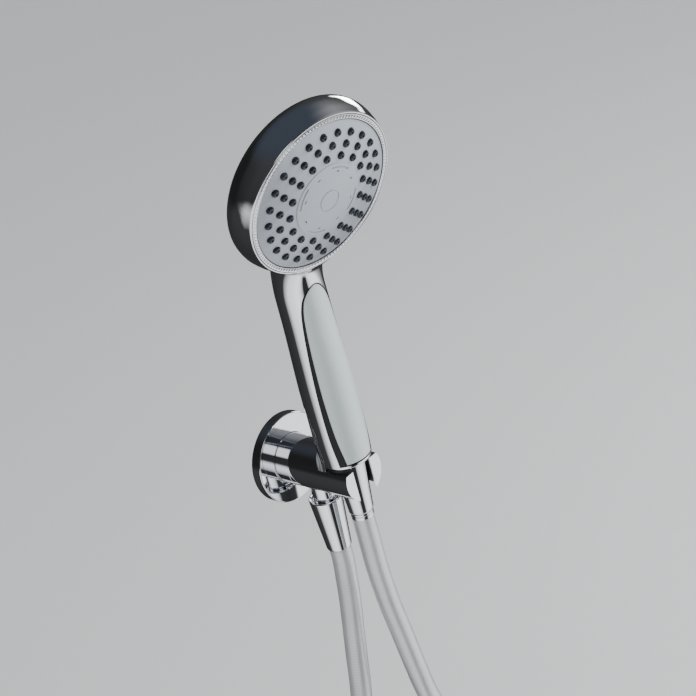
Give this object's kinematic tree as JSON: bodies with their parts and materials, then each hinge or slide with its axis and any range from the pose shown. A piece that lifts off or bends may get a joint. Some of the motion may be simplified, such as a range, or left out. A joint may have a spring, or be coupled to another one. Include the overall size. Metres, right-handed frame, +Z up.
{
  "type": "handheld shower head with wall outlet and hose",
  "caption": "Round chrome hand shower with a domed nozzle face, resting in a wall outlet bracket with a cradle and joined to it by a smooth hose.",
  "frame": {"origin": "centre of the round wall flange, on the wall plane", "axes": "+Y into the wall along the supply thread, +Z up, the arm stands out along -Y"},
  "size_m": [0.192, 0.1513, 0.7484],
  "materials": {
    "chrome": "mirror chrome plating",
    "liner": "black nylon",
    "seal": "black rubber seal",
    "brass": "turned brass",
    "steel": "stainless steel",
    "white_plastic": "white moulded plastic",
    "valve": "orange moulded plastic",
    "regulator": "green moulded plastic",
    "hose": "smooth silver hose",
    "tie": "soft black strap",
    "panel": "pale pearl panel",
    "tube": "translucent water tube",
    "face": "satin silver-grey face",
    "nozzle": "dark soft nozzles",
    "housing": "chrome-plated plastic shell"
  },
  "bodies": {
    "wall_bracket": {"wall_flange": "chrome", "flange_gasket": "seal", "supply_nipple": "brass", "arm_body": "chrome", "arm_collar": "chrome", "grub_screw": "steel", "cradle_liner": "liner", "outlet_spigot": "chrome", "check_valve_body": "white_plastic", "check_valve_spring": "steel", "outlet_nut": "chrome", "outlet_washer": "seal", "outlet_ferrule": "brass", "hose_outlet_run": "hose", "hose_coil": "hose", "hose_tie": "tie", "hose_handset_run": "hose"},
    "valve_poppet": {"check_valve_poppet": "valve"},
    "hose_tail": {"swivel_tail": "chrome", "swivel_o_ring": "seal"},
    "handset": {"swivel_sleeve": "brass", "handset_nut": "chrome", "inlet_washer": "seal", "filter_screen": "steel", "flow_regulator": "regulator", "handle_connector": "brass", "connector_o_ring": "seal", "handle_shell": "housing", "head_shell": "housing", "handle_panel": "panel", "water_tube": "tube", "head_core": "white_plastic", "core_screws": "steel", "head_o_ring": "seal", "port_seal": "seal", "pivot_screw": "steel", "pivot_washer": "steel", "detent_spring": "steel"},
    "detent": {"detent_plunger": "steel"},
    "spray_face": {"face_back_plate": "white_plastic", "nozzle_mat": "nozzle", "face_plate": "face", "trim_ring": "chrome", "centre_insert": "face"},
    "turbine": {"massage_turbine": "valve"}
  },
  "joints": [
    {"name": "handset_lift", "type": "slide", "parent": "wall_bracket", "child": "hose_tail", "axis": [0, 0, 1], "range_m": [0, 0.06]},
    {"name": "handset_swivel", "type": "hinge", "parent": "hose_tail", "child": "handset", "pos_m": [0, -0.0629, 0], "axis": [0, 0, 1], "range_deg": [-90, 90]},
    {"name": "spray_select", "type": "hinge", "parent": "handset", "child": "spray_face", "pos_m": [-0.00903, -0.11411, 0.2187], "axis": [-0.1619, -0.9182, -0.3616], "range_deg": [-60, 60]},
    {"name": "detent_press", "type": "slide", "parent": "handset", "child": "detent", "axis": [0.1619, 0.9182, 0.3616], "range_m": [0, 0.0006], "stiffness_N_per_m": 800, "springref_m": -0.0005},
    {"name": "turbine_spin", "type": "hinge", "parent": "spray_face", "child": "turbine", "pos_m": [-0.00903, -0.11411, 0.2187], "axis": [-0.1619, -0.9182, -0.3616], "continuous": true},
    {"name": "check_valve_open", "type": "slide", "parent": "wall_bracket", "child": "valve_poppet", "axis": [0, 0, -1], "range_m": [0, 0.0025], "stiffness_N_per_m": 150, "springref_m": -0.0005, "deforming": ["check_valve_spring"]}
  ]
}
